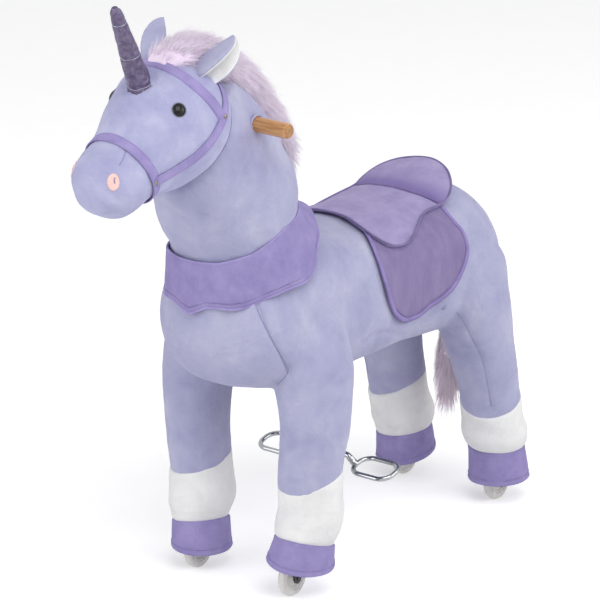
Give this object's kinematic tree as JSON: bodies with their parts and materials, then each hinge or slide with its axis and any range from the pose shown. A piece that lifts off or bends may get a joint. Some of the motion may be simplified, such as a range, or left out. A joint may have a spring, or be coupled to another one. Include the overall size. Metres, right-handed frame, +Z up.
{
  "type": "plush unicorn ride-on",
  "caption": "Plush unicorn ride-on toy on wheels: folding rear half driven by chrome stirrups, saddle, and a neck that steers the front wheels with a wooden handle.",
  "frame": {"origin": "on the ground, at the middle of the whole box's underside", "axes": "+Z up, -Y the way the unicorn faces, +X towards its left side"},
  "size_m": [0.3072, 0.8791, 0.8978],
  "materials": {
    "lavender_plush": "short brushed pile",
    "white_plush": "short brushed pile",
    "purple_felt": "smooth felt with stitched edges",
    "purple_webbing": "felt strap",
    "horn_satin": "satin with silver thread",
    "pink_pile": "long pile",
    "black_eye": "glossy",
    "beech_dowel": "clear lacquer",
    "chrome_rod": "polished",
    "painted_steel": "matt black paint",
    "clear_grey_tread": "satin",
    "plywood": "bare"
  },
  "bodies": {
    "front": {"chest_plush": "lavender_plush", "belly_plush": "lavender_plush", "front_leg_plush_left": "lavender_plush", "front_leg_plush_right": "lavender_plush", "front_hoof_left": "purple_felt", "front_hoof_right": "purple_felt", "front_cuff_left": "white_plush", "front_cuff_right": "white_plush", "neck_collar": "purple_felt", "saddle_flap": "purple_felt", "saddle_seat": "purple_felt", "front_leg_tube_left": "painted_steel", "front_leg_tube_right": "painted_steel", "front_cross_tube": "painted_steel", "head_tube": "painted_steel", "front_rails": "painted_steel", "pivot_bolt": "chrome_rod", "seat_board": "plywood", "pedal_hanger": "painted_steel"},
    "rear": {"rump_plush": "lavender_plush", "rear_leg_plush_left": "lavender_plush", "rear_leg_plush_right": "lavender_plush", "rear_hoof_left": "purple_felt", "rear_hoof_right": "purple_felt", "rear_cuff_left": "white_plush", "rear_cuff_right": "white_plush", "tail": "pink_pile", "rear_leg_tube_left": "painted_steel", "rear_leg_tube_right": "painted_steel", "rear_cross_tube": "painted_steel", "rear_spine": "painted_steel", "rear_link_pin": "chrome_rod", "rear_bracket_left": "painted_steel", "rear_bracket_right": "painted_steel"},
    "neck": {"neck_plush": "lavender_plush", "head_plush": "lavender_plush", "ear_left": "lavender_plush", "ear_right": "lavender_plush", "eye_left": "black_eye", "eye_right": "black_eye", "horn": "horn_satin", "mane": "pink_pile", "handle_bar": "beech_dowel", "steering_post": "painted_steel", "bridle": "purple_webbing"},
    "fork_left": {"front_fork_left": "painted_steel"},
    "fork_right": {"front_fork_right": "painted_steel"},
    "wheel_front_left": {"front_wheel_left": "clear_grey_tread"},
    "wheel_front_right": {"front_wheel_right": "clear_grey_tread"},
    "wheel_rear_left": {"rear_wheel_left": "clear_grey_tread"},
    "wheel_rear_right": {"rear_wheel_right": "clear_grey_tread"},
    "pedals": {"pedal_shaft": "chrome_rod", "pedal_arm_left": "chrome_rod", "pedal_arm_right": "chrome_rod", "link_pin": "chrome_rod", "pedal_crossbar": "chrome_rod", "stirrup_left": "chrome_rod", "stirrup_right": "chrome_rod"},
    "links": {"pull_link_left": "chrome_rod", "pull_link_right": "chrome_rod"}
  },
  "joints": [
    {"name": "rear_fold", "type": "hinge", "parent": "front", "child": "rear", "pos_m": [0, 0.135, 0.45], "axis": [-1, 0, 0], "range_deg": [0, 8], "deforming": ["belly_plush"]},
    {"name": "steer", "type": "hinge", "parent": "front", "child": "neck", "pos_m": [0, -0.171, 0.709], "axis": [0, -0.1903, 0.9817], "range_deg": [-15, 15]},
    {"name": "pedal_swing", "type": "hinge", "parent": "front", "child": "pedals", "pos_m": [0, -0.072, 0.392], "axis": [-1, 0, 0], "range_deg": [0, 12]},
    {"name": "link_swing", "type": "hinge", "parent": "pedals", "child": "links", "pos_m": [0, -0.02, 0.306], "axis": [-1, 0, 0], "range_deg": [-10, 0]},
    {"name": "fork_left_swivel", "type": "hinge", "parent": "front", "child": "fork_left", "pos_m": [0.0875, -0.113, 0.1], "axis": [0, 0, 1], "range_deg": [-15, 15]},
    {"name": "fork_right_swivel", "type": "hinge", "parent": "front", "child": "fork_right", "pos_m": [-0.0875, -0.113, 0.1], "axis": [0, 0, 1], "range_deg": [-15, 15]},
    {"name": "front_wheel_left_spin", "type": "hinge", "parent": "fork_left", "child": "wheel_front_left", "pos_m": [0.0875, -0.113, 0.027], "axis": [1, 0, 0], "continuous": true},
    {"name": "front_wheel_right_spin", "type": "hinge", "parent": "fork_right", "child": "wheel_front_right", "pos_m": [-0.0875, -0.113, 0.027], "axis": [1, 0, 0], "continuous": true},
    {"name": "rear_wheel_left_spin", "type": "hinge", "parent": "rear", "child": "wheel_rear_left", "pos_m": [0.0875, 0.383, 0.027], "axis": [1, 0, 0], "continuous": true},
    {"name": "rear_wheel_right_spin", "type": "hinge", "parent": "rear", "child": "wheel_rear_right", "pos_m": [-0.0875, 0.383, 0.027], "axis": [1, 0, 0], "continuous": true}
  ],
  "couplings": [
    {"joint": "pedal_swing", "follows": "rear_fold", "ratio": 1.5},
    {"joint": "link_swing", "follows": "rear_fold", "ratio": -1.25},
    {"joint": "fork_left_swivel", "follows": "steer", "ratio": 1},
    {"joint": "fork_right_swivel", "follows": "steer", "ratio": 1}
  ]
}
